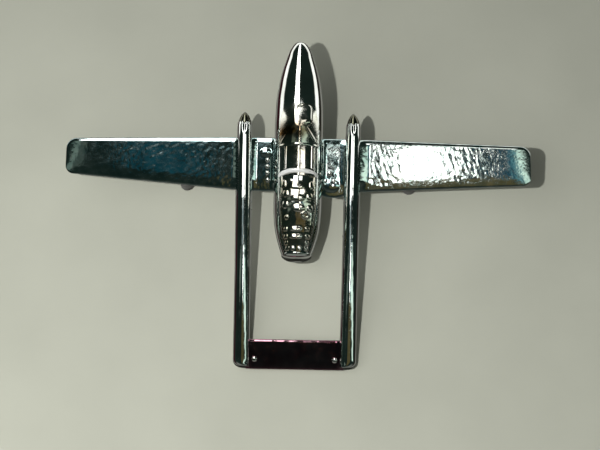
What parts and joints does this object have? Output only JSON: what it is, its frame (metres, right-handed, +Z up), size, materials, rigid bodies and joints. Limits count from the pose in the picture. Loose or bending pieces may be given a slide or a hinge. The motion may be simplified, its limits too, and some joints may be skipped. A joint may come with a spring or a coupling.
{
  "type": "hood ornament",
  "caption": "Chrome-plated hood ornament in the shape of a twin-boom aeroplane, built from riveted and screwed castings on two mounting posts.",
  "frame": {"origin": "middle of the footprint on the surface it stands on, at rest on its two posts and its tail", "axes": "+X towards the right wing tip, +Y forwards to the nose, +Z up; the airframe is pitched nose-up by 11.7 degrees about X"},
  "size_m": [0.152, 0.1078, 0.0277],
  "materials": {
    "chrome_plate": "chrome plating over a slightly pitted die casting, bright with soft mottling",
    "plated_steel": "plated turned steel",
    "rivet_plate": "chrome-plated peened rivets"
  },
  "bodies": {
    "root": {"pod_upper": "chrome_plate", "pod_lower": "chrome_plate", "cockpit_canopy": "chrome_plate", "spine_fairing": "chrome_plate", "aft_canopy": "chrome_plate", "tail_window_frame": "chrome_plate", "tail_cap": "chrome_plate", "wing_center": "chrome_plate", "wing_left": "chrome_plate", "wing_right": "chrome_plate", "boom_left": "chrome_plate", "boom_right": "chrome_plate", "boom_cap_left": "chrome_plate", "boom_cap_right": "chrome_plate", "tailplane": "chrome_plate", "post_left": "plated_steel", "post_right": "plated_steel", "belly_screw_front": "plated_steel", "belly_screw_rear": "plated_steel", "wing_rivet_left_1": "rivet_plate", "wing_rivet_left_2": "rivet_plate", "wing_rivet_left_3": "rivet_plate", "wing_rivet_left_4": "rivet_plate", "wing_rivet_right_1": "rivet_plate", "wing_rivet_right_2": "rivet_plate", "wing_rivet_right_3": "rivet_plate", "tail_rivet_left": "rivet_plate", "tail_rivet_right": "rivet_plate"}
  },
  "joints": []
}
